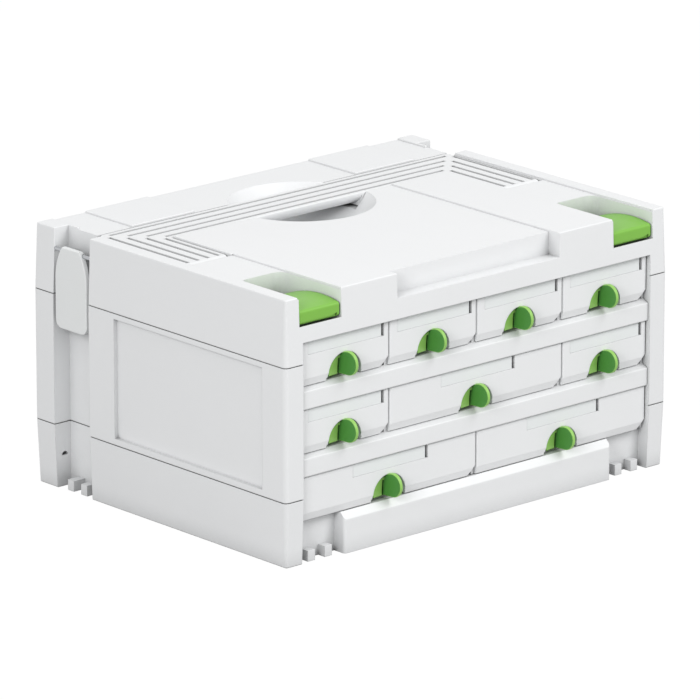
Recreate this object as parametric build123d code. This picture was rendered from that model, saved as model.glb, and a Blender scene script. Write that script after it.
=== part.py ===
"""Stackable drawer organizer case: three moulded layers, nine drawers with green finger pulls,
a folding carrying handle and four stacking latches.

Millimetres. Origin at the centre of the footprint on the floor, +X to the right of someone facing
the drawers, the drawers open towards -Y, +Z up.
"""
from build123d import *
from math import atan2, degrees
import os

# Case envelope and its three layers
WIDTH = 396.0
DEPTH = 296.0
HEIGHT = 210.0
BASE_HEIGHT = 51.5
COVER_HEIGHT = 52.0
CORNER_RADIUS = 4.0
BASE_LEAN = 2.2
COVER_LEAN = 2.0
SEAM = 0.8
SEAM_DEPTH = 1.2
EDGE_ROUND = 1.0

# Walls
SKIN = 2.6
LINER = 2.0
POST_WIDTH = 18.0
BASE_FLOOR = 3.0
REAR_WALL = 26.5
POST_SKIN = 3.0

# Vertical channels near the rear of both sides
REAR_POST = 24.0
CHANNEL_WIDTH = 42.5
CATCH_RADIUS = 3.0
CATCH_HEIGHT = 25.0
CATCH_INSET = 10.0

# Recessed field on each side of the middle layer
FIELD_FRONT_MARGIN = 27.0
FIELD_REAR_MARGIN = 30.0
FIELD_BOTTOM_MARGIN = 5.5
FIELD_TOP_MARGIN = 5.0
FIELD_DEPTH = 3.6

# Drawer bay: shelves, their front bands and the rails that guide the drawers
COLUMNS = 4
ROW_LAYOUT = ((1, 1, 1, 1), (1, 2, 1), (2, 2))
FASCIA_DROP = 35.7
FASCIA_GAP = 1.1
SHELF_PLATE = 2.6
SHELF_CLEARANCE = 0.4
LEDGE_WIDTH = 4.0
LEDGE_HEIGHT = 3.0
RAIL_WIDTH = 5.0
RAIL_HEIGHT = 8.0
BAND_HEIGHT = 17.4
BAND_GAP = 0.5
BAND_SETBACK = 2.0
BAND_SLOPE_DEPTH = 5.5
BAND_SLOPE_DROP = 3.0
BAND_ROUND = 1.2
RIB_WIDTH = 1.8

# Drawers
DRAWER_SETBACK = 4.0
DRAWER_REAR_GAP = 11.5
DRAWER_GAP = 1.4
DRAWER_LIFT = 0.3
FRONT_THICKNESS = 3.2
FRONT_BEVEL_HEIGHT = 6.0
FRONT_BEVEL_DEPTH = 1.8
FRONT_CORNER_CUT = 7.5
FRONT_ROUND = 1.2
TRAY_WALL = 1.8
TRAY_DROP = 3.7
TRAY_CORNER = 6.0
TRAY_FLOOR_ROUND = 3.1
LABEL_INSET = 8.0
LABEL_HEIGHT = 10.4
LABEL_DEPTH = 0.6
LABEL_CARD = 0.3
LABEL_SLOT = 2.5
LABEL_MARGIN = 0.3

# Finger pull in each drawer front
PULL_HOLE_RADIUS = 16.6
PULL_CENTRE_RISE = 3.6
PULL_LIP = 1.2
PULL_UNDERCUT = 1.0
PULL_POCKET_DEPTH = 12.0
PULL_POCKET_WALL = 2.0
PULL_DISC_GAP = 2.6
PULL_DISC_SETBACK = 2.8
PULL_DISC_THICKNESS = 3.0
PULL_DISH = 1.2
PULL_STEM_RADIUS = 6.5
FIN_REACH = 14.2
FIN_RADIUS = 9.3
FIN_ROOT_HEIGHT = 12.4
FIN_BOTTOM_RISE = 2.6
FIN_ROOT_WIDTH = 5.0
FIN_TIP_WIDTH = 2.6
FIN_ROUND = 0.7
FIN_SLOT = 1.7

# Plinth and coupling lugs along the floor
LUG_BAY = 41.0
PLINTH_DEPTH = 12.0
PLINTH_HEIGHT = 27.0
PLINTH_SLOPE_DEPTH = 5.0
PLINTH_SLOPE_RISE = 5.1
PLINTH_ROUND = 1.5
PLINTH_END_ROUND = 2.5
LUG_WIDTH = 7.2
LUG_HEIGHT = 8.6
LUG_SETBACK = 4.5
LUG_PITCH = 17.0
LUG_MARGIN = 11.4
SIDE_LUG_PITCH = 16.0
SIDE_LUG_MARGIN = 13.0

# Top of the cover
RELIEF = 1.6
BLOCK_ROUND = 0.6
CENTRE_BAND_HALF = 84.0
BLOCK_MARGIN = 2.5
RIM_WIDTH = 14.0
LEDGE_DROP = 19.5
LEDGE_DEPTH = 14.0
REAR_CORNER_WIDTH = 37.0
REAR_CORNER_DEPTH = 35.0

# Folding carrying handle
BAR_SETBACK = 59.5
BAR_WIDTH = 41.5
ARM_WIDTH = 39.0
ARM_MARGIN = 2.0
HANDLE_LENGTH = 103.5
HANDLE_THICKNESS = 12.0
HANDLE_GAP = 0.8
HANDLE_PIN_RADIUS = 2.5
HANDLE_CORNER = 5.0
HANDLE_ROUND = 0.8
GRIP_MARGIN = 5.0
GROOVE_COUNT = 4
GROOVE_PITCH = 10.2
GROOVE_WIDTH = 3.2
GROOVE_DEPTH = 2.4
GROOVE_MITRE_STOP = 4.0
WELL_RADIUS = 58.5
WELL_SETBACK = 11.5
WELL_DEPTH = 30.0

# Green stacking latches in the two front corners
POCKET_MARGIN = 15.0
POCKET_WIDTH = 42.0
POCKET_LENGTH = 70.0
POCKET_DEPTH = 26.0
POCKET_CORNER = 8.0
POCKET_LIP_RISE = 3.0
POCKET_LIP_THICKNESS = 2.0
LATCH_GAP = 0.8
LATCH_PIVOT_SETBACK = 5.4
LATCH_PIVOT_RISE = 6.6
LATCH_KNUCKLE = 3.0
LATCH_PIN_RADIUS = 1.4
LATCH_FRONT_RISE = 8.0
LATCH_CROWN_SETBACK = 23.0
LATCH_CROWN_RISE = 10.4
LATCH_REAR_RISE = 1.8
LATCH_SHOULDER = 2.6
LATCH_REAR_GAP = 8.0
LATCH_SHELL = 2.6
LATCH_NOTCH_WIDTH = 11.0
LATCH_NOTCH_HEIGHT = 3.6
LATCH_NOTCH_DEPTH = 1.6
LATCH_ROUND = 0.8

# Light grey side latches in the channels
TAB_GAP = 2.6
TAB_TOP_DROP = 13.0
TAB_LENGTH = 65.5
TAB_SHOULDER_DROP = 26.0
TAB_TOP_HALF = 10.4
TAB_THICKNESS = 4.0
TAB_CORNER = 7.0
TAB_ROUND = 0.8
TAB_PIVOT_DROP = 3.4
TAB_KNUCKLE = 3.2
TAB_PIN_RADIUS = 1.5

PIN_CLEARANCE = 0.06
PIN_SEAT = 2.2

# Worked-out places: layers and bay
SIDES = {"left": -1, "right": 1}
FRONT = -DEPTH / 2
REAR = DEPTH / 2
SIDE = WIDTH / 2
COVER_BOTTOM = HEIGHT - COVER_HEIGHT
LOW_TOP = HEIGHT - RELIEF
BAY_HALF = SIDE - POST_WIDTH
BAY_REAR = REAR - REAR_WALL
BAY = (-BAY_HALF, BAY_HALF)
CHANNEL_X = BAY_HALF + LINER
CHANNEL_REAR = REAR - REAR_POST
CHANNEL_FRONT = CHANNEL_REAR - CHANNEL_WIDTH

# Worked-out places: rows of drawers
COLUMN_PITCH = 2 * BAY_HALF / COLUMNS
PLINTH_HALF = BAY_HALF - LUG_BAY
PLINTH_TOP = PLINTH_HEIGHT + PLINTH_SLOPE_RISE
BASE_WALL_FRONT = FRONT + PLINTH_DEPTH
FASCIA_BOTTOM = HEIGHT - FASCIA_DROP
BOTTOM_FLOOR = PLINTH_TOP + DRAWER_LIFT
ROWS_SPAN = FASCIA_BOTTOM - FASCIA_GAP - BOTTOM_FLOOR
BAND_STEP = BAND_HEIGHT + BAND_GAP
LEAST_FRONT = PULL_CENTRE_RISE + PULL_HOLE_RADIUS + PULL_LIP + LABEL_HEIGHT
ROWS = int((ROWS_SPAN + BAND_STEP) / (LEAST_FRONT + BAND_STEP))
FRONT_HEIGHT = (ROWS_SPAN + BAND_STEP) / ROWS - BAND_STEP
ROW_PITCH = FRONT_HEIGHT + BAND_STEP
ROW_FLOORS = [BOTTOM_FLOOR + (ROWS - 1 - row) * ROW_PITCH for row in range(ROWS)]
BAND_FRONT = FRONT + BAND_SETBACK
DRAWER_FRONT = FRONT + DRAWER_SETBACK
DRAWER_BACK = DRAWER_FRONT + FRONT_THICKNESS
DRAWER_REAR = BAY_REAR - DRAWER_REAR_GAP
LABEL_WIDTH = COLUMN_PITCH - 2 * LABEL_INSET

# Worked-out places: handle
RIM_INNER = SIDE - RIM_WIDTH
ARM_OUTER = RIM_INNER - ARM_MARGIN
ARM_INNER = ARM_OUTER - ARM_WIDTH
BLOCK_HALF = ARM_INNER - BLOCK_MARGIN
BAR_REAR = REAR - BAR_SETBACK
BAR_FRONT = BAR_REAR - BAR_WIDTH
HANDLE_BOTTOM = LOW_TOP - HANDLE_THICKNESS
HANDLE_PIVOT_Y = BAR_REAR - HANDLE_LENGTH
HANDLE_PIVOT_Z = LOW_TOP - HANDLE_THICKNESS / 2
HANDLE_FRONT = HANDLE_PIVOT_Y - HANDLE_THICKNESS / 2
WELL_Y = BAR_FRONT + WELL_SETBACK

# Worked-out places: latches
POCKET_OUTER = SIDE - POCKET_MARGIN
POCKET_INNER = POCKET_OUTER - POCKET_WIDTH
POCKET_FLOOR = HEIGHT - POCKET_DEPTH
LATCH_PIVOT_Y = FRONT + LATCH_PIVOT_SETBACK
LATCH_PIVOT_Z = POCKET_FLOOR + LATCH_PIVOT_RISE
LATCH_REAR = FRONT + POCKET_LENGTH - LATCH_REAR_GAP
LATCH_CROWN_Y = FRONT + LATCH_CROWN_SETBACK
TAB_FRONT = CHANNEL_FRONT + TAB_GAP
TAB_REAR = CHANNEL_REAR - TAB_GAP
TAB_TOP = HEIGHT - TAB_TOP_DROP
TAB_BOTTOM = TAB_TOP - TAB_LENGTH
TAB_SHOULDER = TAB_TOP - TAB_SHOULDER_DROP
TAB_PIVOT_X = SIDE - TAB_KNUCKLE
TAB_PIVOT_Z = TAB_TOP - TAB_PIVOT_DROP


def block(x, y, z):
    """Box from its low and high limits along each axis."""
    size = [high - low for low, high in (x, y, z)]
    centre = [(high + low) / 2 for low, high in (x, y, z)]
    return Pos(*centre) * Box(*size)


def span(side, near, far):
    """Limits in X of a stretch between two distances from the middle, on one side."""
    return tuple(sorted((side * near, side * far)))


def around(middle, width):
    """Limits of a stretch of a given width about its middle."""
    return (middle - width / 2, middle + width / 2)


def prism_x(outline_yz, x):
    """Prism along X of a face drawn in Y and Z."""
    return extrude(Plane.YZ.offset(x[0]) * outline_yz, x[1] - x[0])


def rod_x(radius, x, y, z):
    """Round bar along X."""
    return Pos(sum(x) / 2, y, z) * Rot(0, 90, 0) * Cylinder(radius, x[1] - x[0])


def rod_y(radius, y, x, z):
    """Round bar along Y."""
    return Pos(x, sum(y) / 2, z) * Rot(90, 0, 0) * Cylinder(radius, y[1] - y[0])


def layer_body(z_low, z_high, lean=0.0, lean_down=False):
    """One layer of the case, drawn in towards its free end, with the side channels cut in."""
    outline = RectangleRounded(WIDTH, DEPTH, CORNER_RADIUS)
    height = z_high - z_low
    angle = degrees(atan2(lean, height))
    start = Plane((0, 0, z_high), z_dir=(0, 0, -1)) if lean_down else Plane((0, 0, z_low))
    body = extrude(start * outline, height, taper=angle)
    if lean:
        free_end = body.faces().sort_by(Axis.Z)[0 if lean_down else -1]
        body = fillet(free_end.edges(), EDGE_ROUND)
    for side in SIDES.values():
        body -= block(span(side, CHANNEL_X, WIDTH), (CHANNEL_FRONT, CHANNEL_REAR), (z_low, z_high))
    return body


def wall_hollows(z, lean=0.0):
    """Spaces inside the double side walls, the rear wall and the rear posts."""
    outer = SIDE - SKIN - lean
    rear = REAR - SKIN - lean
    front = FRONT + POST_SKIN + lean
    inner = CHANNEL_X - LINER
    hollows = block((-inner, inner), (BAY_REAR + LINER, rear), z)
    for side in SIDES.values():
        hollows += block(span(side, BAY_HALF + LINER, outer), (front, CHANNEL_FRONT - SKIN), z)
        hollows += block(span(side, CHANNEL_X + LINER, outer), (CHANNEL_REAR + SKIN, rear), z)
    return hollows


def ledges(floor):
    """Strips on both bay walls that carry a shelf plate."""
    top = floor - SHELF_PLATE
    left, right = [
        block(span(side, BAY_HALF - LEDGE_WIDTH, BAY_HALF), (BASE_WALL_FRONT, BAY_REAR),
              (top - LEDGE_HEIGHT, top)) for side in SIDES.values()]
    return left + right


def base_tray():
    """Bottom layer: open tray with the plinth and the coupling lugs at the floor."""
    deck_bottom = BOTTOM_FLOOR - SHELF_PLATE
    tray = layer_body(0, BASE_HEIGHT, BASE_LEAN, lean_down=True)
    tray -= wall_hollows((BASE_FLOOR, BASE_HEIGHT), BASE_LEAN)
    tray -= block(BAY, (BASE_WALL_FRONT + SKIN, BAY_REAR), (BASE_FLOOR, BASE_HEIGHT))
    tray -= block(BAY, (FRONT, BASE_WALL_FRONT), (0, BASE_HEIGHT))
    tray -= block(BAY, (FRONT, BAY_REAR), (deck_bottom, BASE_HEIGHT))
    outline = make_face(Polyline(
        (FRONT, 0), (FRONT, PLINTH_HEIGHT), (FRONT + PLINTH_SLOPE_DEPTH, PLINTH_TOP),
        (BASE_WALL_FRONT, PLINTH_TOP), (BASE_WALL_FRONT, 0), close=True))
    nose = outline.vertices().group_by(Axis.X)[0].sort_by(Axis.Y)[-1]
    plinth = prism_x(fillet(nose, PLINTH_ROUND), (-PLINTH_HALF, PLINTH_HALF))
    plan = Pos(0, FRONT + PLINTH_DEPTH / 2) * Rectangle(2 * PLINTH_HALF, PLINTH_DEPTH)
    plan = fillet(plan.vertices().group_by(Axis.Y)[0], PLINTH_END_ROUND)
    tray += plinth & extrude(plan, PLINTH_TOP)
    tray -= block((-PLINTH_HALF + SKIN, PLINTH_HALF - SKIN),
                  (FRONT + SKIN, BASE_WALL_FRONT + SKIN), (BASE_FLOOR, PLINTH_HEIGHT - SKIN))
    for side in SIDES.values():
        for number in range(2):
            x = BAY_HALF - LUG_MARGIN - number * LUG_PITCH
            tray += block(span(side, *around(x, LUG_WIDTH)),
                          (FRONT + LUG_SETBACK, BASE_WALL_FRONT), (0, LUG_HEIGHT))
            y = CHANNEL_FRONT + SIDE_LUG_MARGIN + number * SIDE_LUG_PITCH
            tray += block(span(side, CHANNEL_X, SIDE - LUG_SETBACK), around(y, LUG_WIDTH), (0, LUG_HEIGHT))
        catch_x = side * (SIDE - CATCH_INSET)
        catch_y = (CHANNEL_REAR, CHANNEL_REAR + SKIN)
        tray -= rod_y(CATCH_RADIUS, catch_y, catch_x, CATCH_HEIGHT) & block(
            around(catch_x, 2 * CATCH_RADIUS), catch_y, (CATCH_HEIGHT, CATCH_HEIGHT + CATCH_RADIUS))
    tray += ledges(BOTTOM_FLOOR)
    for column in range(1, COLUMNS):
        x = -BAY_HALF + column * COLUMN_PITCH
        tray += block(around(x, RIB_WIDTH), (BASE_WALL_FRONT + SKIN, BAY_REAR), (BASE_FLOOR, deck_bottom))
    return tray


def seam_groove(z):
    """Narrow groove all round the outside and through the channels, where two layers meet."""
    core = RectangleRounded(WIDTH - 2 * SEAM_DEPTH, DEPTH - 2 * SEAM_DEPTH, CORNER_RADIUS - SEAM_DEPTH)
    for side in SIDES.values():
        reach = span(side, CHANNEL_X - SEAM_DEPTH, SIDE)
        core -= Pos(sum(reach) / 2, (CHANNEL_FRONT + CHANNEL_REAR) / 2) * Rectangle(
            reach[1] - reach[0], CHANNEL_WIDTH + 2 * SEAM_DEPTH)
    return extrude(Plane((0, 0, z[0])) * (Rectangle(WIDTH, DEPTH) - core), z[1] - z[0])


def middle_shell():
    """Middle layer: side and rear walls round the drawer bay, with a recessed field on each side."""
    height = (BASE_HEIGHT, COVER_BOTTOM)
    shell = layer_body(*height) - block(BAY, (FRONT, BAY_REAR), height)
    hollows = wall_hollows(height)
    field_y = (FRONT + FIELD_FRONT_MARGIN, CHANNEL_FRONT - FIELD_REAR_MARGIN)
    field_z = (BASE_HEIGHT + FIELD_BOTTOM_MARGIN, COVER_BOTTOM - FIELD_TOP_MARGIN)
    field_x = SIDE - FIELD_DEPTH
    for side in SIDES.values():
        hollows -= block(span(side, field_x - SKIN, WIDTH), (field_y[0] - SKIN, field_y[1] + SKIN),
                         (field_z[0] - SKIN, field_z[1] + SKIN))
        shell -= block(span(side, field_x, WIDTH), field_y, field_z)
    shell -= hollows
    shell -= seam_groove((BASE_HEIGHT, BASE_HEIGHT + SEAM))
    shell -= seam_groove((COVER_BOTTOM - SEAM, COVER_BOTTOM))
    for floor in ROW_FLOORS[:-1]:
        shell += ledges(floor)
    return shell


def row_units(row):
    """Widths of the drawers of a row in columns; a taller case repeats the layout."""
    return ROW_LAYOUT[row % len(ROW_LAYOUT)]


def row_edges(row):
    """X of the borders between the drawers of a row, the bay walls included."""
    edges = [-BAY_HALF]
    for units in row_units(row):
        edges.append(edges[-1] + units * COLUMN_PITCH)
    return edges


def shelf(row):
    """Plate under a row of drawers, with its guide rails and, above another row, a front band."""
    floor = ROW_FLOORS[row]
    half = BAY_HALF - SHELF_CLEARANCE
    rear = BAY_REAR - SHELF_CLEARANCE
    banded = row < ROWS - 1
    slope_rear = BAND_FRONT + BAND_SLOPE_DEPTH
    plate_y = (slope_rear if banded else BASE_WALL_FRONT, rear)
    plate = block((-half, half), plate_y, (floor - SHELF_PLATE, floor))
    if banded:
        bottom = floor - BAND_HEIGHT
        slope_foot = floor - BAND_SLOPE_DROP
        inner = BAND_FRONT + SKIN
        outline = make_face(Polyline(
            (BAND_FRONT, bottom), (BAND_FRONT, slope_foot), (slope_rear, floor),
            (slope_rear, floor - SHELF_PLATE), (inner, slope_foot - SHELF_PLATE / 2),
            (inner, bottom), close=True))
        corners = outline.vertices().group_by(Axis.X)[0]
        plate += prism_x(fillet(corners, BAND_ROUND), (-half, half))
        for column in range(COLUMNS):
            x = (column + 0.5) * COLUMN_PITCH - BAY_HALF
            plate += block(around(x, RIB_WIDTH), (inner, rear), (bottom, floor - SHELF_PLATE))
    rails_y = (DRAWER_BACK + SHELF_CLEARANCE, rear)
    rails_z = (floor, floor + RAIL_HEIGHT)
    for x in row_edges(row)[1:-1]:
        plate += block(around(x, RAIL_WIDTH), rails_y, rails_z)
    for side in SIDES.values():
        plate += block(span(side, BAY_HALF - RAIL_WIDTH / 2, half), rails_y, rails_z)
    return plate


def shelf_name(row):
    """Name of the plate under a row, counted from the top."""
    if row == ROWS - 1:
        return "bottom_deck"
    return ("upper_shelf", "lower_shelf")[row] if row < 2 else f"lower_shelf_{row}"


def handle_outline(grow=0.0):
    """Plan of the U-shaped handle, arms running forward to the pivots."""
    front = HANDLE_FRONT - grow
    rear = BAR_REAR + grow
    bar_front = BAR_FRONT - grow
    plan = Pos(0, (front + rear) / 2) * Rectangle(2 * (ARM_OUTER + grow), rear - front)
    return plan - Pos(0, (front + bar_front) / 2) * Rectangle(2 * (ARM_INNER - grow), bar_front - front)


def handle_pin_span(side):
    """Limits in X of one handle pin, seated in the recess walls."""
    return span(side, ARM_INNER - HANDLE_GAP - PIN_SEAT, ARM_OUTER + HANDLE_GAP + PIN_SEAT)


def latch_pin_span(side):
    """Limits in X of one front latch pin, seated in the pocket walls."""
    return span(side, POCKET_INNER - PIN_SEAT, POCKET_OUTER + PIN_SEAT)


def handle_pin(side):
    """Pin that an arm of the handle turns on."""
    return rod_x(HANDLE_PIN_RADIUS, handle_pin_span(side), HANDLE_PIVOT_Y, HANDLE_PIVOT_Z)


def front_latch_pin(side):
    """Pin that a green latch turns on."""
    return rod_x(LATCH_PIN_RADIUS, latch_pin_span(side), LATCH_PIVOT_Y, LATCH_PIVOT_Z)


def side_latch_pin(side):
    """Pin across a side channel that a grey latch hangs from."""
    seats = (CHANNEL_FRONT - PIN_SEAT, CHANNEL_REAR + PIN_SEAT)
    return rod_y(TAB_PIN_RADIUS, seats, side * TAB_PIVOT_X, TAB_PIVOT_Z)


def latch_pocket(side, grow=0.0):
    """Space in a front corner of the cover that holds a green latch, rounded at the rear."""
    front = FRONT + POCKET_LIP_THICKNESS - grow
    length = FRONT + POCKET_LENGTH + grow - front
    centre = side * (POCKET_INNER + POCKET_OUTER) / 2
    plan = Pos(centre, front + length / 2) * Rectangle(POCKET_WIDTH + 2 * grow, length)
    plan = fillet(plan.vertices().sort_by(Axis.Y)[-2:], POCKET_CORNER + grow)
    return extrude(Plane((0, 0, POCKET_FLOOR - grow)) * plan, POCKET_DEPTH + grow)


def finger_well(grow=0.0):
    """Round dish under the bar of the handle, for the fingers."""
    radius = (WELL_RADIUS ** 2 + WELL_DEPTH ** 2) / (2 * WELL_DEPTH)
    ball = Pos(0, WELL_Y, LOW_TOP - WELL_DEPTH + radius) * Sphere(radius + grow)
    return ball & block((-SIDE, SIDE), (FRONT, REAR), (COVER_BOTTOM, HEIGHT))


def top_cover():
    """Top layer: skin with latch pockets, handle recess, finger well and raised blocks."""
    cover = layer_body(COVER_BOTTOM, HEIGHT, COVER_LEAN)
    roof = LOW_TOP - SKIN
    fascia_rear = FRONT + COVER_LEAN + SKIN
    recess_front = HANDLE_FRONT - HANDLE_GAP
    recess_floor = HANDLE_BOTTOM - HANDLE_GAP
    raised = (LOW_TOP, HEIGHT)
    band = (-CENTRE_BAND_HALF, CENTRE_BAND_HALF)

    hollows = wall_hollows((COVER_BOTTOM, roof), COVER_LEAN)
    hollows += block(BAY, (fascia_rear, BAY_REAR), (COVER_BOTTOM, roof))
    hollows -= block((band[0] - SKIN, band[1] + SKIN), (FRONT, fascia_rear + LEDGE_DEPTH),
                     (HEIGHT - LEDGE_DROP - SKIN, HEIGHT))
    hollows -= extrude(Plane((0, 0, recess_floor - SKIN)) * handle_outline(HANDLE_GAP + SKIN), HEIGHT)
    hollows -= finger_well(SKIN)
    for side in SIDES.values():
        hollows -= latch_pocket(side, SKIN)
    cover -= hollows
    cover -= block(BAY, (FRONT, fascia_rear), (COVER_BOTTOM, FASCIA_BOTTOM))

    cover -= block(band, (FRONT + LEDGE_DEPTH, REAR), raised)
    cover -= block(band, (FRONT, FRONT + LEDGE_DEPTH), (HEIGHT - LEDGE_DROP, HEIGHT))
    for side in SIDES.values():
        rear_block = RIM_INNER - REAR_CORNER_WIDTH
        cover -= block(span(side, BLOCK_HALF, RIM_INNER), (FRONT, recess_front), raised)
        cover -= block(span(side, ARM_INNER - HANDLE_GAP, RIM_INNER), (recess_front, BAR_REAR), raised)
        cover -= block(span(side, rear_block, RIM_INNER), (BAR_REAR, REAR - REAR_CORNER_DEPTH), raised)
        cover -= block(span(side, rear_block, CHANNEL_X - LINER), (REAR - REAR_CORNER_DEPTH, REAR), raised)
        cover -= latch_pocket(side)
        cover -= block(span(side, POCKET_INNER, POCKET_OUTER), (FRONT, FRONT + POCKET_LIP_THICKNESS),
                       (POCKET_FLOOR + POCKET_LIP_RISE, HEIGHT))
        cover -= front_latch_pin(side) + handle_pin(side) + side_latch_pin(side)
    cover -= extrude(Plane((0, 0, recess_floor)) * handle_outline(HANDLE_GAP), HEIGHT - recess_floor)
    cover -= block((-ARM_INNER, ARM_INNER), (BAR_FRONT - HANDLE_GAP, BAR_REAR + HANDLE_GAP), raised)
    cover -= finger_well()
    block_tops = cover.faces().filter_by(Axis.Z).group_by(Axis.Z)[-1]
    return fillet(block_tops.edges(), BLOCK_ROUND)


def handle():
    """Carrying bail: flat grooved bar and arms, rounded at the pivots and under the grip."""
    bail = extrude(Plane((0, 0, HANDLE_BOTTOM)) * handle_outline(), HANDLE_THICKNESS)
    bail -= block((-ARM_OUTER, ARM_OUTER), (HANDLE_FRONT, HANDLE_PIVOT_Y), (HANDLE_BOTTOM, LOW_TOP))
    bail = fillet(bail.edges().filter_by(Axis.Z).sort_by(Axis.Y)[-2:], HANDLE_CORNER)
    top_edges = bail.faces().sort_by(Axis.Z)[-1].edges()
    bail = fillet(top_edges.sort_by(Axis.Y)[2:], HANDLE_ROUND)
    for side in SIDES.values():
        eye = rod_x(HANDLE_THICKNESS / 2, span(side, ARM_INNER, ARM_OUTER), HANDLE_PIVOT_Y, HANDLE_PIVOT_Z)
        bail += fillet(eye.edges().filter_by(GeomType.CIRCLE), HANDLE_ROUND)
    grip = (-WELL_RADIUS + GRIP_MARGIN, WELL_RADIUS - GRIP_MARGIN)
    rounded = prism_x(
        Pos((BAR_FRONT + BAR_REAR) / 2, LOW_TOP) * Ellipse(BAR_WIDTH / 2, HANDLE_THICKNESS), grip)
    bail -= block(grip, (BAR_FRONT, BAR_REAR), (HANDLE_BOTTOM, LOW_TOP)) - rounded
    mitre = ARM_INNER - BAR_FRONT
    groove_z = (LOW_TOP - GROOVE_DEPTH, LOW_TOP)
    first = (BAR_WIDTH - (GROOVE_COUNT - 1) * GROOVE_PITCH) / 2
    for number in range(GROOVE_COUNT):
        y = BAR_FRONT + first + number * GROOVE_PITCH
        x = y + mitre
        reach = x - GROOVE_MITRE_STOP
        bail -= block((-reach, reach), around(y, GROOVE_WIDTH), groove_z)
        for side in SIDES.values():
            bail -= block(span(side, *around(x, GROOVE_WIDTH)),
                          (HANDLE_PIVOT_Y, y - GROOVE_MITRE_STOP), groove_z)
    bore = HANDLE_PIN_RADIUS + PIN_CLEARANCE
    for side in SIDES.values():
        bail -= rod_x(bore, handle_pin_span(side), HANDLE_PIVOT_Y, HANDLE_PIVOT_Z)
    return bail


def front_latch(side):
    """Green stacking latch: arched shell that turns up about a pin at its front foot."""
    front = LATCH_PIVOT_Y - LATCH_KNUCKLE
    foot = LATCH_PIVOT_Z - LATCH_KNUCKLE
    front_top = LATCH_PIVOT_Z + LATCH_FRONT_RISE
    rear_top = LATCH_PIVOT_Z + LATCH_REAR_RISE
    crown = LATCH_PIVOT_Z + LATCH_CROWN_RISE
    outline = make_face([
        Line((front, LATCH_PIVOT_Z), (front, front_top)),
        ThreePointArc((front, front_top), (LATCH_CROWN_Y, crown), (LATCH_REAR, rear_top)),
        Line((LATCH_REAR, rear_top), (LATCH_REAR, foot)),
        Line((LATCH_REAR, foot), (LATCH_PIVOT_Y, foot)),
        RadiusArc((LATCH_PIVOT_Y, foot), (front, LATCH_PIVOT_Z), LATCH_KNUCKLE),
    ])
    shoulder = outline.vertices().group_by(Axis.X)[0].sort_by(Axis.Y)[-1]
    width = span(side, POCKET_INNER + LATCH_GAP, POCKET_OUTER - LATCH_GAP)
    latch = prism_x(fillet(shoulder, LATCH_SHOULDER), width)
    arches = latch.edges().filter_by(GeomType.CIRCLE)
    arches = arches.filter_by(lambda edge: edge.center().Z > LATCH_PIVOT_Z)
    latch = fillet(arches, LATCH_ROUND)
    under_front = LATCH_PIVOT_Y + 2 * LATCH_KNUCKLE
    under_rear = LATCH_REAR - LATCH_SHELL
    under_top = front_top - LATCH_SHELL
    under = make_face([
        Line((under_front, foot), (under_front, under_top)),
        ThreePointArc((under_front, under_top), (LATCH_CROWN_Y, crown - LATCH_SHELL),
                      (under_rear, rear_top - LATCH_SHELL)),
        Line((under_rear, rear_top - LATCH_SHELL), (under_rear, foot)),
        Line((under_rear, foot), (under_front, foot)),
    ])
    latch -= prism_x(under, (width[0] + LATCH_SHELL, width[1] - LATCH_SHELL))
    notch_end = width[1] - LATCH_SHELL
    notch = make_face(Polyline(
        (notch_end - LATCH_NOTCH_WIDTH, foot), (notch_end, foot), (notch_end, foot + LATCH_NOTCH_HEIGHT),
        close=True))
    latch -= extrude(Plane.XZ.offset(-front) * notch, -LATCH_NOTCH_DEPTH)
    return latch - rod_x(LATCH_PIN_RADIUS + PIN_CLEARANCE, width, LATCH_PIVOT_Y, LATCH_PIVOT_Z)


def side_latch(side):
    """Light grey tab that hangs in a side channel from a pin at its narrow top."""
    middle = (TAB_FRONT + TAB_REAR) / 2
    top = around(middle, 2 * TAB_TOP_HALF)
    outline = make_face([
        Line((TAB_FRONT, TAB_SHOULDER), (TAB_FRONT, TAB_BOTTOM)),
        Line((TAB_FRONT, TAB_BOTTOM), (TAB_REAR, TAB_BOTTOM)),
        Line((TAB_REAR, TAB_BOTTOM), (TAB_REAR, TAB_SHOULDER)),
        TangentArc((TAB_REAR, TAB_SHOULDER), (top[1], TAB_TOP), tangent=(0, 1)),
        Line((top[1], TAB_TOP), (top[0], TAB_TOP)),
        TangentArc((TAB_FRONT, TAB_SHOULDER), (top[0], TAB_TOP), tangent=(0, 1)),
    ])
    outline = fillet(outline.vertices().group_by(Axis.Y)[0], TAB_CORNER)
    tab = prism_x(outline, span(side, SIDE - TAB_THICKNESS, SIDE))
    tab = fillet(tab.faces().sort_by(Axis.X)[0 if side < 0 else -1].edges(), TAB_ROUND)
    pivot = (side * TAB_PIVOT_X, TAB_PIVOT_Z)
    tab += rod_y(TAB_KNUCKLE, top, *pivot)
    return tab - rod_y(TAB_PIN_RADIUS + PIN_CLEARANCE, (TAB_FRONT, TAB_REAR), *pivot)


def drawer_front(x, half, bottom, top):
    """Front panel of a drawer, bevelled below and cut off at its lower right corner."""
    profile = make_face(Polyline(
        (DRAWER_FRONT, top), (DRAWER_FRONT, bottom + FRONT_BEVEL_HEIGHT),
        (DRAWER_FRONT + FRONT_BEVEL_DEPTH, bottom), (DRAWER_BACK, bottom), (DRAWER_BACK, top), close=True))
    panel = prism_x(profile, (x - half, x + half))
    cut = make_face(Polyline(
        (x + half, bottom), (x + half, bottom + FRONT_CORNER_CUT), (x + half - FRONT_CORNER_CUT, bottom),
        close=True))
    panel -= extrude(Plane.XZ.offset(-DRAWER_BACK) * cut, FRONT_THICKNESS)
    return fillet(panel.faces().sort_by(Axis.Y)[0].edges(), FRONT_ROUND)


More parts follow.
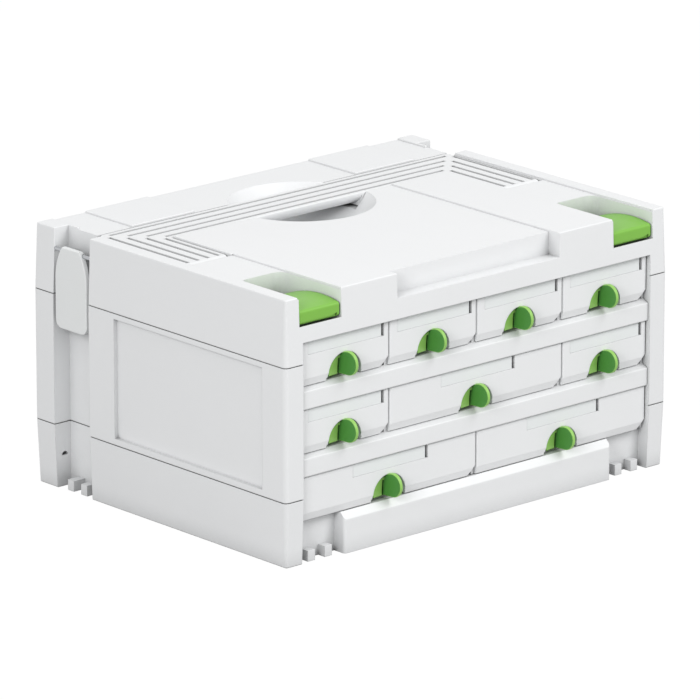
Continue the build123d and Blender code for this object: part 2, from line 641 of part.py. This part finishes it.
def drawer_tray(x, units, floor):
    """Drawer: open tray with a bevelled front, a label field and the round pocket for the pull."""
    bottom = floor + DRAWER_LIFT
    top = floor + FRONT_HEIGHT
    half = (units * COLUMN_PITCH - DRAWER_GAP) / 2
    width = units * COLUMN_PITCH - RAIL_WIDTH - 2 * SHELF_CLEARANCE
    length = DRAWER_REAR - DRAWER_BACK
    height = top - TRAY_DROP - bottom
    centre_y = (DRAWER_REAR + DRAWER_BACK) / 2
    tray = extrude(Plane((x, centre_y, bottom)) * RectangleRounded(width, length, TRAY_CORNER), height)
    plan = RectangleRounded(width - 2 * TRAY_WALL, length - 2 * TRAY_WALL, TRAY_CORNER - TRAY_WALL)
    inside = extrude(Plane((x, centre_y, bottom + TRAY_WALL)) * plan, height)
    inside = fillet(inside.faces().sort_by(Axis.Z)[0].edges(), TRAY_FLOOR_ROUND)
    tray = tray - inside + drawer_front(x, half, bottom, top)

    hole_z = floor + PULL_CENTRE_RISE
    pocket_radius = PULL_HOLE_RADIUS + PULL_UNDERCUT
    lip_rear = DRAWER_FRONT + PULL_LIP
    pocket_rear = DRAWER_FRONT + PULL_POCKET_DEPTH
    boss = rod_y(pocket_radius + PULL_POCKET_WALL, (DRAWER_BACK, pocket_rear + PULL_POCKET_WALL), x, hole_z)
    tray += boss & block((x - half, x + half), (DRAWER_BACK, DRAWER_REAR), (bottom, top))
    tray -= rod_y(pocket_radius, (lip_rear, pocket_rear), x, hole_z)
    tray -= rod_y(PULL_HOLE_RADIUS, (DRAWER_FRONT, lip_rear), x, hole_z)

    label_x = around(x, LABEL_WIDTH)
    tray -= block(label_x, (DRAWER_FRONT, DRAWER_FRONT + LABEL_DEPTH), (top - LABEL_HEIGHT, top))
    slot_rear = DRAWER_BACK + TRAY_CORNER
    return tray - block((label_x[1], label_x[1] + LABEL_SLOT), (DRAWER_FRONT, slot_rear),
                        (top - LABEL_HEIGHT, top - LABEL_MARGIN))


def drawer_pull(x, floor):
    """Green pull: dished disc on a stem, with a coin-shaped upright fin to pinch."""
    hole_z = floor + PULL_CENTRE_RISE
    disc_front = DRAWER_FRONT + PULL_DISC_SETBACK
    disc_rear = disc_front + PULL_DISC_THICKNESS
    disc_radius = PULL_HOLE_RADIUS - PULL_DISC_GAP
    pull = rod_y(disc_radius, (disc_front, disc_rear), x, hole_z)
    dish_radius = (disc_radius ** 2 + PULL_DISH ** 2) / (2 * PULL_DISH)
    pull -= Pos(x, disc_front + PULL_DISH - dish_radius, hole_z) * Sphere(dish_radius)
    pull += rod_y(PULL_STEM_RADIUS, (disc_rear - PULL_DISH, DRAWER_FRONT + PULL_POCKET_DEPTH), x, hole_z)

    root = disc_rear - PULL_DISH / 2
    tip = DRAWER_FRONT - FIN_REACH
    bottom = floor + FIN_BOTTOM_RISE
    top = bottom + 2 * FIN_RADIUS
    arc_y = tip + FIN_RADIUS
    coin = make_face([
        Line((root, bottom), (arc_y, bottom)),
        ThreePointArc((arc_y, bottom), (tip, bottom + FIN_RADIUS), (arc_y, top)),
        TangentArc((arc_y, top), (root, bottom + FIN_ROOT_HEIGHT), tangent=(1, 0)),
        Line((root, bottom + FIN_ROOT_HEIGHT), (root, bottom)),
    ])
    wedge = make_face(Polyline(
        (x - FIN_ROOT_WIDTH / 2, root), (x + FIN_ROOT_WIDTH / 2, root),
        (x + FIN_TIP_WIDTH / 2, tip), (x - FIN_TIP_WIDTH / 2, tip), close=True))
    fin = prism_x(coin, around(x, 2 * FIN_ROOT_WIDTH))
    fin &= extrude(Plane((0, 0, bottom)) * wedge, 2 * FIN_RADIUS)
    rim = [edge for edge in fin.edges().filter_by(GeomType.ELLIPSE) if edge.center().Y < arc_y]
    fin = fillet(rim, FIN_ROUND)
    pull &= block(around(x, 2 * PULL_HOLE_RADIUS), (FRONT, DRAWER_REAR), (bottom, top))
    for side in SIDES.values():
        slot_x = x + side * (FIN_ROOT_WIDTH + FIN_SLOT) / 2
        pull -= block(around(slot_x, FIN_SLOT), (disc_front, disc_rear), (bottom, bottom + FIN_ROOT_HEIGHT))
    return pull + fin


def drawer_label(x, floor):
    """Blank card lying in the label field."""
    top = floor + FRONT_HEIGHT
    rear = DRAWER_FRONT + LABEL_DEPTH
    return block(around(x, LABEL_WIDTH - 2 * LABEL_MARGIN), (rear - LABEL_CARD, rear),
                 (top - LABEL_HEIGHT + LABEL_MARGIN, top - LABEL_MARGIN))


def build():
    """Every piece of the case by its name."""
    pieces = {
        "base_tray": base_tray(),
        "middle_shell": middle_shell(),
        "top_cover": top_cover(),
        "carry_handle": handle(),
    }
    for name, side in SIDES.items():
        pieces[f"front_latch_{name}"] = front_latch(side)
        pieces[f"side_latch_{name}"] = side_latch(side)
        pieces[f"handle_pin_{name}"] = handle_pin(side)
        pieces[f"front_latch_pin_{name}"] = front_latch_pin(side)
        pieces[f"side_latch_pin_{name}"] = side_latch_pin(side)
    for row in range(ROWS):
        pieces[shelf_name(row)] = shelf(row)
        edges = row_edges(row)
        for column, units in enumerate(row_units(row)):
            x = (edges[column] + edges[column + 1]) / 2
            place = f"row{row + 1}_{column + 1}"
            pieces[f"drawer_{place}"] = drawer_tray(x, units, ROW_FLOORS[row])
            pieces[f"drawer_pull_{place}"] = drawer_pull(x, ROW_FLOORS[row])
            pieces[f"drawer_label_{place}"] = drawer_label(x, ROW_FLOORS[row])
    return pieces


os.makedirs("parts", exist_ok=True)
for node, piece in build().items():
    export_step(piece, f"parts/{node}.step")
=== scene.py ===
"""Finishes and studio for a stackable drawer organizer case."""

import bpy
from bpy.props import FloatProperty, FloatVectorProperty, PointerProperty
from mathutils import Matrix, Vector

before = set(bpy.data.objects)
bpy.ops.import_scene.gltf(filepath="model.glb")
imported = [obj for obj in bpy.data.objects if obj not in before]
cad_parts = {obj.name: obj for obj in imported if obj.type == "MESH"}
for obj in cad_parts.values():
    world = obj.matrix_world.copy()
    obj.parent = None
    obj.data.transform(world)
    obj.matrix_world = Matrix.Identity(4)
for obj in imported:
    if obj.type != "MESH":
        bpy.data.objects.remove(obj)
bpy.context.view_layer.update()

bl_info = {
    "name": "Drawer Organizer Case",
    "version": (1, 0, 0),
    "blender": (4, 5, 0),
    "location": "3D View > Sidebar > Organizer",
    "description": "Dresses a packed drawer organizer case in its plastics and sets up its studio",
    "category": "Object",
}

MM = 0.001
WHITE = (1.0, 1.0, 1.0, 1.0)
SIDES = ("left", "right")
PULLS = sorted(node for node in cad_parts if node.startswith("drawer_pull"))
LABELS = sorted(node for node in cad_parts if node.startswith("drawer_label"))
DRAWERS = sorted(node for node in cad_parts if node.startswith("drawer_row"))
PINS = sorted(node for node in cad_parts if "_pin_" in node)


def linear(hex_colour):
    """Linear RGB of an sRGB colour written as hex."""
    shares = [int(hex_colour[start:start + 2], 16) / 255 for start in (1, 3, 5)]
    return tuple(s / 12.92 if s <= 0.04045 else ((s + 0.055) / 1.055) ** 2.4 for s in shares)


def add_node(tree, kind, inputs=None, **settings):
    """Add one node, set its properties, and fill or link its input sockets."""
    node = tree.nodes.new(kind)
    for name, value in settings.items():
        setattr(node, name, value)
    for socket, value in (inputs or {}).items():
        if isinstance(value, bpy.types.NodeSocket):
            tree.links.new(value, node.inputs[socket])
        else:
            node.inputs[socket].default_value = value
    return node


def new_material(name):
    """Empty node material with its output node."""
    material = bpy.data.materials.new(name)
    material.use_nodes = True
    material.node_tree.nodes.clear()
    return material, material.node_tree, material.node_tree.nodes.new("ShaderNodeOutputMaterial")


class CaseFinish(bpy.types.PropertyGroup):
    """Colours and surface sizes of the case's plastics."""
    shell_colour: FloatVectorProperty(
        name="Shell White", description="Colour of the three moulded layers and the handle",
        subtype="COLOR", min=0.0, max=1.0, default=linear("#EBECED"))
    drawer_colour: FloatVectorProperty(
        name="Drawer White", description="Colour of the drawers and the shelf bands",
        subtype="COLOR", min=0.0, max=1.0, default=linear("#EDEEEF"))
    green_colour: FloatVectorProperty(
        name="Latch Green", description="Colour of the front latches",
        subtype="COLOR", min=0.0, max=1.0, default=linear("#7FBB49"))
    pull_colour: FloatVectorProperty(
        name="Pull Green", description="Colour of the discs and rims of the pulls",
        subtype="COLOR", min=0.0, max=1.0, default=linear("#97CB67"))
    # Painted shade: the darker green given to the pulls' faces that look to the left and right.
    fin_shade_colour: FloatVectorProperty(
        name="Fin Green", description="Colour of the rough grip faces of the pulls' fins",
        subtype="COLOR", min=0.0, max=1.0, default=linear("#4D8E3E"))
    grey_colour: FloatVectorProperty(
        name="Side Latch Grey", description="Colour of the latches in the side channels",
        subtype="COLOR", min=0.0, max=1.0, default=linear("#E8EAEA"))
    label_colour: FloatVectorProperty(
        name="Label Card", description="Colour of the blank cards in the drawer fronts",
        subtype="COLOR", min=0.0, max=1.0, default=linear("#EBEEEE"))
    pin_colour: FloatVectorProperty(
        name="Pin Steel", description="Colour of the pivot pins",
        subtype="COLOR", min=0.0, max=1.0, default=linear("#B9BBBE"))
    shell_roughness: FloatProperty(
        name="Shell Roughness", description="Roughness of the grained layers",
        subtype="FACTOR", min=0.0, max=1.0, default=0.46)
    drawer_roughness: FloatProperty(
        name="Drawer Roughness", description="Roughness of the smoother drawers and bands",
        subtype="FACTOR", min=0.0, max=1.0, default=0.38)
    green_roughness: FloatProperty(
        name="Green Roughness", description="Roughness of the pulls and front latches",
        subtype="FACTOR", min=0.0, max=1.0, default=0.34)
    grain: FloatProperty(
        name="Mould Grain", description="Spacing of the spark-eroded grain on the mouldings",
        subtype="DISTANCE", unit="LENGTH", min=0.0002, max=0.01, default=1.1 * MM)
    edge: FloatProperty(
        name="Edge Softness", description="Radius of the softened look along sharp moulded edges",
        subtype="DISTANCE", unit="LENGTH", min=0.0, max=0.003, default=0.8 * MM)


class CaseStage(bpy.types.PropertyGroup):
    """Studio round the case."""
    camera_place: FloatVectorProperty(
        name="Camera", description="Where the camera stands", subtype="XYZ", unit="LENGTH",
        default=(-3.59598, -4.02676, 1.71841))
    camera_aim: FloatVectorProperty(
        name="View Direction", description="Way that the camera looks", subtype="DIRECTION",
        default=(0.63861, 0.71392, -0.28724))
    lens: FloatProperty(
        name="Lens", description="Focal length on a 36 mm sensor, in millimetres",
        min=50.0, default=371.9)
    room_light: FloatProperty(
        name="Room Light", description="Strength of the even light from all round",
        min=0.0, default=0.63)
    key_light: FloatProperty(
        name="Key Light", description="Power of the large lamp above, in front and to the right, in watts",
        min=0.0, default=68.0)
    fill_light: FloatProperty(
        name="Fill Light", description="Power of the smaller lamp to the left, in watts",
        min=0.0, default=46.0)
    floor_colour: FloatVectorProperty(
        name="Floor", description="Colour of the paper that the case stands on",
        subtype="COLOR", min=0.0, max=1.0, default=linear("#AEAEAE"))


def moulded_plastic(name, colour, roughness, grain, edge, moves=True, gap_shade_depth=0.75, recess_shade_end=0.7,
                    side_shade_colour=None):
    """Injection-moulded ABS: one colour all through, a fine grain that scatters the highlight,
    edges that the tool leaves slightly rounded, and a faint unevenness in the sheen. Painted
    shade darkens narrow gaps, and the recesses up to the openness at its end. A piece that moves
    counts only its own gaps and recesses, so that it looks the same at every pose. Faces that look
    to the left and right can have a darker colour of their own, as painted shade."""
    material, tree, output = new_material(name)
    coordinates = add_node(tree, "ShaderNodeTexCoord")
    place = coordinates.outputs["Object"]
    # The real grain is about 0.2 mm; it is drawn coarser so that it shows at all.
    grain_noise = add_node(tree, "ShaderNodeTexNoise", {
        "Vector": place, "Scale": 1 / grain, "Detail": 2.0})
    soft = add_node(tree, "ShaderNodeBevel", {"Radius": edge}, samples=6)
    grain_depth = 0.1 * MM
    bump = add_node(tree, "ShaderNodeBump", {
        "Strength": 0.02, "Distance": grain_depth, "Height": grain_noise.outputs["Fac"],
        "Normal": soft.outputs["Normal"]})
    cloud_size = 70 * MM
    clouds = add_node(tree, "ShaderNodeTexNoise", {
        "Vector": place, "Scale": 1 / cloud_size, "Detail": 3.0})
    spread = 0.05
    sheen = add_node(tree, "ShaderNodeMapRange", {
        "Value": clouds.outputs["Fac"], "From Min": 0.3, "From Max": 0.7,
        "To Min": roughness - spread, "To Max": roughness + spread})
    cloud_shade = add_node(tree, "ShaderNodeMapRange", {
        "Value": clouds.outputs["Fac"], "From Min": 0.3, "From Max": 0.7,
        "To Min": 0.985, "To Max": 1.0})
    # Painted shade: narrow gaps and grooves are darkened by how closed in they are, where shade falls.
    gap_reach = 5 * MM
    gap = add_node(tree, "ShaderNodeAmbientOcclusion", {
        "Distance": gap_reach}, samples=8, only_local=moves)
    painted_gap_shade = add_node(tree, "ShaderNodeMapRange", {
        "Value": gap.outputs["AO"], "From Min": 0.05, "From Max": 0.5,
        "To Min": 1 - gap_shade_depth, "To Max": 1.0})
    # Painted shade: deep recesses such as the side channels, and ledges under the drawers, are darkened
    # too.
    recess_reach = 30 * MM
    recess = add_node(tree, "ShaderNodeAmbientOcclusion", {
        "Distance": recess_reach}, samples=8, only_local=moves)
    painted_recess_shade = add_node(tree, "ShaderNodeMapRange", {
        "Value": recess.outputs["AO"], "From Min": 0.2, "From Max": recess_shade_end,
        "To Min": 0.6, "To Max": 1.0})
    painted_shade = add_node(tree, "ShaderNodeMath", {
        0: painted_gap_shade.outputs["Result"], 1: painted_recess_shade.outputs["Result"]}, operation="MULTIPLY")
    shade = add_node(tree, "ShaderNodeMath", {
        0: cloud_shade.outputs["Result"], 1: painted_shade.outputs[0]}, operation="MULTIPLY")
    pigment = tuple(colour)
    if side_shade_colour:
        # Painted shade: faces that look to the left and right, the fins' sides, get a darker colour.
        facing = add_node(tree, "ShaderNodeSeparateXYZ", {"Vector": coordinates.outputs["Normal"]})
        sideways = add_node(tree, "ShaderNodeMath", {0: facing.outputs["X"]}, operation="ABSOLUTE")
        side_shade_mask = add_node(tree, "ShaderNodeMapRange", {
            "Value": sideways.outputs[0], "From Min": 0.9, "From Max": 0.98})
        # A vector mix has its own two inputs at 4 and 5 and its result at 1.
        mix = add_node(tree, "ShaderNodeMix", {
            0: side_shade_mask.outputs["Result"], 4: pigment, 5: tuple(side_shade_colour)}, data_type="VECTOR")
        pigment = mix.outputs[1]
    tint = add_node(tree, "ShaderNodeVectorMath", {
        0: pigment, "Scale": shade.outputs[0]}, operation="SCALE")
    shader = add_node(tree, "ShaderNodeBsdfPrincipled", {
        "Base Color": tint.outputs["Vector"], "Roughness": sheen.outputs["Result"], "IOR": 1.53,
        "Specular IOR Level": 0.3, "Normal": bump.outputs["Normal"]})
    tree.links.new(shader.outputs["BSDF"], output.inputs["Surface"])
    return material


def dress(nodes, material):
    """Give CAD nodes one material."""
    for node in nodes:
        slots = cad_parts[node].data.materials
        if not slots:
            slots.append(material)
        for index in range(len(slots)):
            slots[index] = material


class ORGANIZER_OT_shells(bpy.types.Operator):
    """Finish the base, the middle layer and the top cover"""
    bl_idname = "organizer.shells"
    bl_label = "Finish Shells"

    def execute(self, context):
        finish = context.scene.organizer_finish
        white = moulded_plastic(
            "white_abs_grained", finish.shell_colour, finish.shell_roughness, finish.grain, finish.edge,
            moves=False)
        dress(["base_tray", "middle_shell", "top_cover"], white)
        return {"FINISHED"}


class ORGANIZER_OT_shelves(bpy.types.Operator):
    """Finish the two banded shelves and the bottom deck"""
    bl_idname = "organizer.shelves"
    bl_label = "Finish Shelves"

    def execute(self, context):
        finish = context.scene.organizer_finish
        # The shelves get weaker painted shade in gaps and recesses than the other mouldings.
        white = moulded_plastic(
            "white_abs_satin", finish.drawer_colour, finish.drawer_roughness, finish.grain, finish.edge,
            moves=False, gap_shade_depth=0.2, recess_shade_end=1.0)
        dress(["upper_shelf", "lower_shelf", "bottom_deck"], white)
        return {"FINISHED"}


class ORGANIZER_OT_handle(bpy.types.Operator):
    """Finish the folding handle"""
    bl_idname = "organizer.handle"
    bl_label = "Finish Handle"

    def execute(self, context):
        finish = context.scene.organizer_finish
        white = moulded_plastic(
            "white_abs_handle", finish.shell_colour, finish.shell_roughness, finish.grain, finish.edge)
        dress(["carry_handle"], white)
        return {"FINISHED"}


class ORGANIZER_OT_drawers(bpy.types.Operator):
    """Finish the nine drawers"""
    bl_idname = "organizer.drawers"
    bl_label = "Finish Drawers"

    def execute(self, context):
        finish = context.scene.organizer_finish
        white = moulded_plastic(
            "white_abs_drawer", finish.drawer_colour, finish.drawer_roughness, finish.grain, finish.edge)
        dress(DRAWERS, white)
        return {"FINISHED"}


class ORGANIZER_OT_pulls(bpy.types.Operator):
    """Finish the green finger pulls"""
    bl_idname = "organizer.pulls"
    bl_label = "Finish Pulls"

    def execute(self, context):
        finish = context.scene.organizer_finish
        # The fins' faces that look to the left and right get a darker green as painted shade.
        green = moulded_plastic(
            "green_abs_pull", finish.pull_colour, finish.green_roughness, finish.grain, finish.edge,
            side_shade_colour=finish.fin_shade_colour)
        dress(PULLS, green)
        return {"FINISHED"}


class ORGANIZER_OT_labels(bpy.types.Operator):
    """Finish the blank label cards"""
    bl_idname = "organizer.labels"
    bl_label = "Finish Labels"

    def execute(self, context):
        finish = context.scene.organizer_finish
        card_roughness = 0.7
        card = moulded_plastic("white_card", finish.label_colour, card_roughness, finish.grain, edge=0.0)
        dress(LABELS, card)
        return {"FINISHED"}


class ORGANIZER_OT_front_latches(bpy.types.Operator):
    """Finish the green latches in the front corners"""
    bl_idname = "organizer.front_latches"
    bl_label = "Finish Front Latches"

    def execute(self, context):
        finish = context.scene.organizer_finish
        green = moulded_plastic(
            "green_abs_latch", finish.green_colour, finish.green_roughness, finish.grain, finish.edge)
        dress([f"front_latch_{side}" for side in SIDES], green)
        return {"FINISHED"}


class ORGANIZER_OT_side_latches(bpy.types.Operator):
    """Finish the grey latches in the side channels"""
    bl_idname = "organizer.side_latches"
    bl_label = "Finish Side Latches"

    def execute(self, context):
        finish = context.scene.organizer_finish
        grey = moulded_plastic(
            "grey_abs_latch", finish.grey_colour, finish.shell_roughness, finish.grain, finish.edge)
        dress([f"side_latch_{side}" for side in SIDES], grey)
        return {"FINISHED"}


def drawn_steel(name, colour):
    """Bright drawn steel wire: fine scratches along the bar stretch its highlight."""
    material, tree, output = new_material(name)
    place = add_node(tree, "ShaderNodeTexCoord").outputs["Object"]
    scratch = 0.4 * MM
    lines = add_node(tree, "ShaderNodeTexNoise", {
        "Vector": place, "Scale": 1 / scratch, "Detail": 2.0})
    rough = add_node(tree, "ShaderNodeMapRange", {
        "Value": lines.outputs["Fac"], "To Min": 0.22, "To Max": 0.42})
    shader = add_node(tree, "ShaderNodeBsdfPrincipled", {
        "Base Color": (*colour, 1.0), "Metallic": 1.0, "Roughness": rough.outputs["Result"]})
    tree.links.new(shader.outputs["BSDF"], output.inputs["Surface"])
    return material


class ORGANIZER_OT_pins(bpy.types.Operator):
    """Finish the steel pivot pins"""
    bl_idname = "organizer.pins"
    bl_label = "Finish Pins"

    def execute(self, context):
        dress(PINS, drawn_steel("drawn_steel", context.scene.organizer_finish.pin_colour))
        return {"FINISHED"}


def seen_share(tree):
    """1 for rays that see a surface from the camera, in a reflection or through glass, else 0."""
    path = add_node(tree, "ShaderNodeLightPath")
    seen = add_node(tree, "ShaderNodeMath", {
        0: path.outputs["Is Camera Ray"], 1: path.outputs["Is Glossy Ray"]}, operation="MAXIMUM")
    seen = add_node(tree, "ShaderNodeMath", {
        0: seen.outputs[0], 1: path.outputs["Is Transmission Ray"]}, operation="MAXIMUM")
    return seen.outputs[0]


def paper_floor(stage):
    """White studio paper: it lights the case as matt paper does, and the camera sees it close to
    pure white with a soft shadow."""
    material, tree, output = new_material("white_studio_paper")
    paper = add_node(tree, "ShaderNodeBsdfDiffuse", {"Color": (*stage.floor_colour, 1.0)})
    glow_strength = 1.05
    glow = add_node(tree, "ShaderNodeEmission", {"Color": WHITE, "Strength": glow_strength})
    # The rest of the share shows the paper itself, with the shadow on it.
    glow_share = 0.94
    share = add_node(tree, "ShaderNodeMath", {0: seen_share(tree), 1: glow_share}, operation="MULTIPLY")
    mix = add_node(tree, "ShaderNodeMixShader", {
        0: share.outputs[0], 1: paper.outputs[0], 2: glow.outputs[0]})
    tree.links.new(mix.outputs[0], output.inputs["Surface"])
    return material


def studio_world(stage):
    """Even white room: it lights the case at its own strength and is seen as pure white."""
    world = bpy.data.worlds.new("studio_world")
    world.use_nodes = True
    tree = world.node_tree
    tree.nodes.clear()
    room = add_node(tree, "ShaderNodeBackground", {"Color": WHITE, "Strength": stage.room_light})
    backdrop = add_node(tree, "ShaderNodeBackground", {"Color": WHITE, "Strength": 1.0})
    mix = add_node(tree, "ShaderNodeMixShader", {
        0: seen_share(tree), 1: room.outputs[0], 2: backdrop.outputs[0]})
    add_node(tree, "ShaderNodeOutputWorld", {"Surface": mix.outputs[0]})
    return world


def add_lamp(name, power, size, place, target):
    """Square area lamp turned towards a point."""
    lamp = bpy.data.lights.new(name, "AREA")
    lamp.energy = power
    lamp.size = size
    holder = bpy.data.objects.new(name, lamp)
    bpy.context.scene.collection.objects.link(holder)
    holder.location = place
    holder.rotation_euler = (Vector(target) - Vector(place)).to_track_quat("-Z", "Y").to_euler()
    return holder


def photo_camera(stage):
    """Camera at the photograph's angle and framing."""
    camera = bpy.data.cameras.new("photo_camera")
    camera.lens = stage.lens
    camera.sensor_width = 36.0
    # The case stands slightly off the middle of the photo's frame.
    camera.shift_x = -0.0102
    camera.shift_y = 0.0013
    camera.clip_end = 100.0
    holder = bpy.data.objects.new("photo_camera", camera)
    bpy.context.scene.collection.objects.link(holder)
    holder.location = stage.camera_place
    holder.rotation_euler = Vector(stage.camera_aim).to_track_quat("-Z", "Y").to_euler()
    return holder


class ORGANIZER_OT_stage(bpy.types.Operator):
    """Set up the floor, the light and the camera"""
    bl_idname = "organizer.stage"
    bl_label = "Set Up Studio"

    def execute(self, context):
        scene = context.scene
        stage = scene.organizer_stage
        half = 12.0
        corners = [(-half, -half, 0), (half, -half, 0), (half, half, 0), (-half, half, 0)]
        mesh = bpy.data.meshes.new("studio_floor")
        mesh.from_pydata(corners, [], [(0, 1, 2, 3)])
        mesh.materials.append(paper_floor(stage))
        floor = bpy.data.objects.new("studio_floor", mesh)
        # The paper lies a hair lower than the base, so that the two faces don't coincide.
        floor.location.z = -0.2 * MM
        scene.collection.objects.link(floor)
        scene.world = studio_world(stage)
        middle = (0.0, 0.0, 0.1)
        add_lamp("key_lamp", stage.key_light, size=2.0, place=(1.3, -2.5, 2.9), target=middle)
        add_lamp("fill_lamp", stage.fill_light, size=1.2, place=(-3.0, -1.5, 1.6), target=middle)
        scene.camera = photo_camera(stage)
        scene.view_settings.view_transform = "Standard"
        return {"FINISHED"}


STEPS = (
    ORGANIZER_OT_shells, ORGANIZER_OT_shelves, ORGANIZER_OT_handle, ORGANIZER_OT_drawers,
    ORGANIZER_OT_pulls, ORGANIZER_OT_labels, ORGANIZER_OT_front_latches, ORGANIZER_OT_side_latches,
    ORGANIZER_OT_pins, ORGANIZER_OT_stage,
)


class ORGANIZER_PT_panel(bpy.types.Panel):
    """Steps and settings of the organizer case"""
    bl_idname = "ORGANIZER_PT_panel"
    bl_label = "Organizer Case"
    bl_space_type = "VIEW_3D"
    bl_region_type = "UI"
    bl_category = "Organizer"

    def draw(self, context):
        for step in STEPS:
            self.layout.operator(step.bl_idname)
        for group in (context.scene.organizer_finish, context.scene.organizer_stage):
            box = self.layout.box()
            for name in group.__annotations__:
                box.prop(group, name)


CLASSES = (CaseFinish, CaseStage, *STEPS, ORGANIZER_PT_panel)


def register():
    for item in CLASSES:
        bpy.utils.register_class(item)
    bpy.types.Scene.organizer_finish = PointerProperty(type=CaseFinish)
    bpy.types.Scene.organizer_stage = PointerProperty(type=CaseStage)


def unregister():
    del bpy.types.Scene.organizer_stage
    del bpy.types.Scene.organizer_finish
    for item in reversed(CLASSES):
        bpy.utils.unregister_class(item)


def main():
    register()
    bpy.ops.organizer.shells()
    bpy.ops.organizer.shelves()
    bpy.ops.organizer.handle()
    bpy.ops.organizer.drawers()
    bpy.ops.organizer.pulls()
    bpy.ops.organizer.labels()
    bpy.ops.organizer.front_latches()
    bpy.ops.organizer.side_latches()
    bpy.ops.organizer.pins()
    bpy.ops.organizer.stage()


if __name__ == "__main__":
    main()
